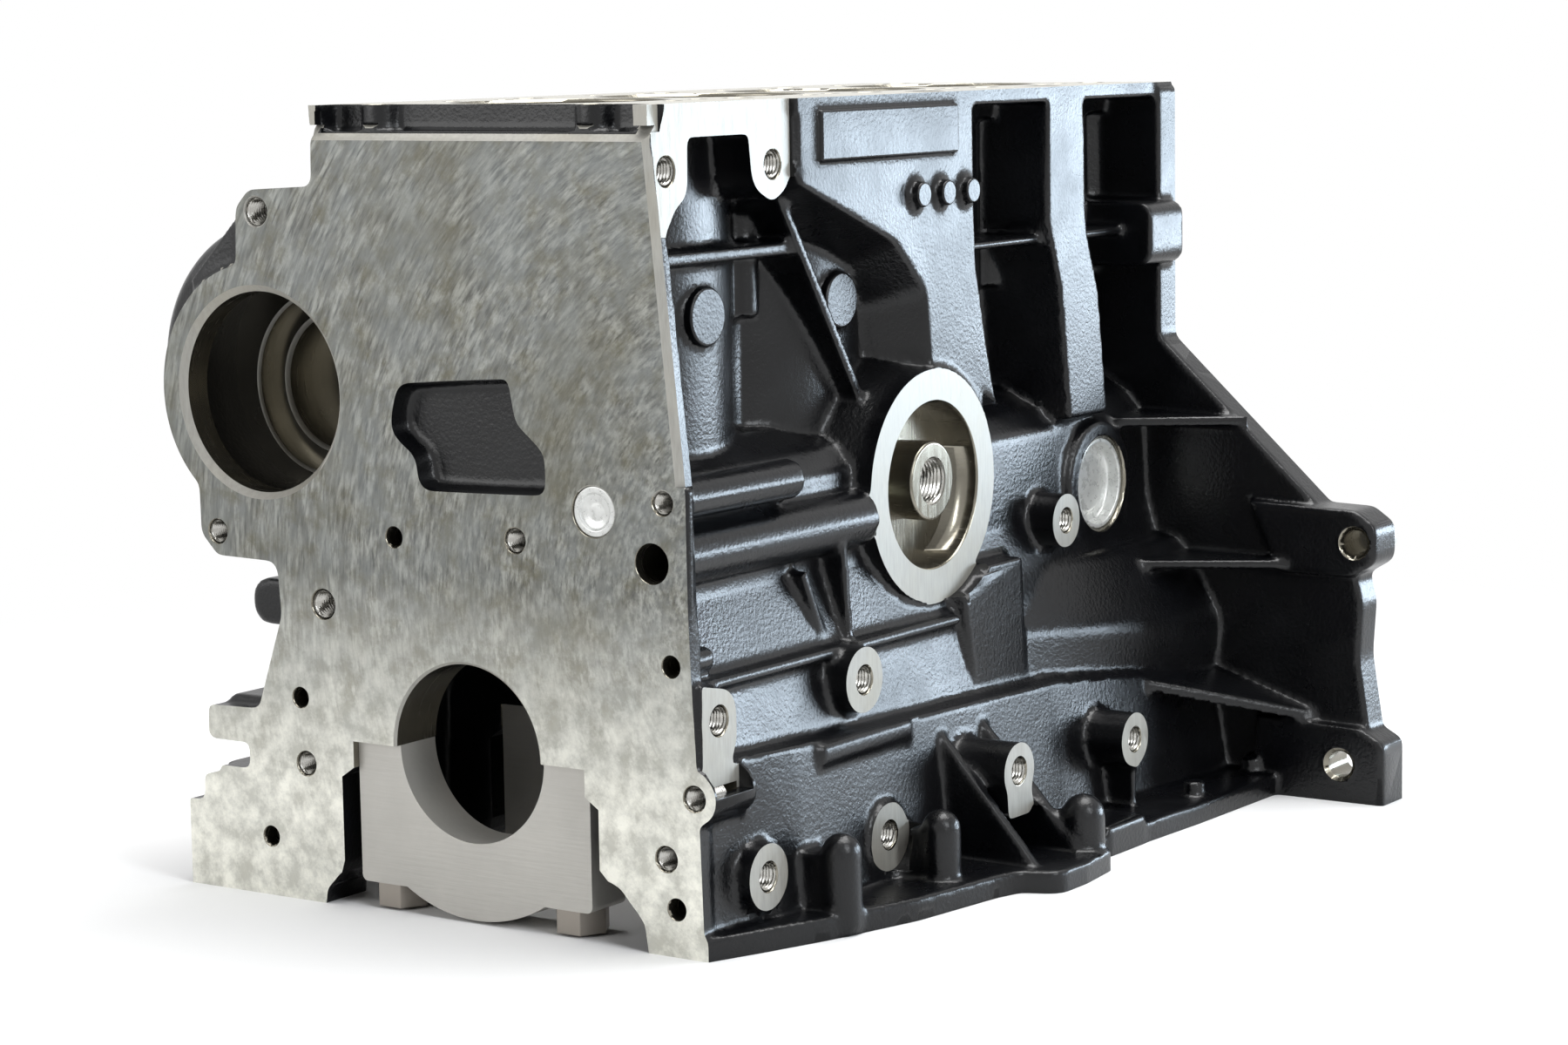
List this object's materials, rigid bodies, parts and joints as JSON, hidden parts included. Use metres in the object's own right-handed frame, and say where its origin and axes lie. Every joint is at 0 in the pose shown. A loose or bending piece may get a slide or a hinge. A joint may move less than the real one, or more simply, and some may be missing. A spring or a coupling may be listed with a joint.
{
  "type": "engine block",
  "caption": "Bare cast-iron in-line engine block with bolted main bearing caps, machined timing face, water pump bore, oil filter face and bell housing flange.",
  "frame": {"origin": "centre of the bounding box's bottom, on the plane of the sump rail's feet", "axes": "+Z from the crankcase to the head deck, +Y from the timing face to the bell housing face along the crank axis, +X to the side with the oil filter face"},
  "size_m": [0.374, 0.382, 0.2996],
  "materials": {
    "block_casting": "black semi-gloss paint over fine sand-cast texture, bare machined faces",
    "cap_casting": "bare satin cast iron, machined on the faces",
    "bolt_steel": "oiled, phosphated",
    "plug_steel": "bright pressed steel",
    "dowel_steel": "ground"
  },
  "bodies": {
    "root": {"bell_housing_dowel_filter_side": "dowel_steel", "bell_housing_dowel_pump_side": "dowel_steel", "core_plug_filter_side": "plug_steel", "core_plug_pump_side_1": "plug_steel", "core_plug_pump_side_2": "plug_steel", "core_plug_pump_side_3": "plug_steel", "cylinder_block": "block_casting", "gallery_plug_front": "plug_steel", "gallery_plug_rear": "plug_steel", "main_cap_1": "cap_casting", "main_cap_2": "cap_casting", "main_cap_3": "cap_casting", "main_cap_4": "cap_casting", "main_cap_5": "cap_casting", "main_cap_bolts": "bolt_steel"}
  },
  "joints": []
}
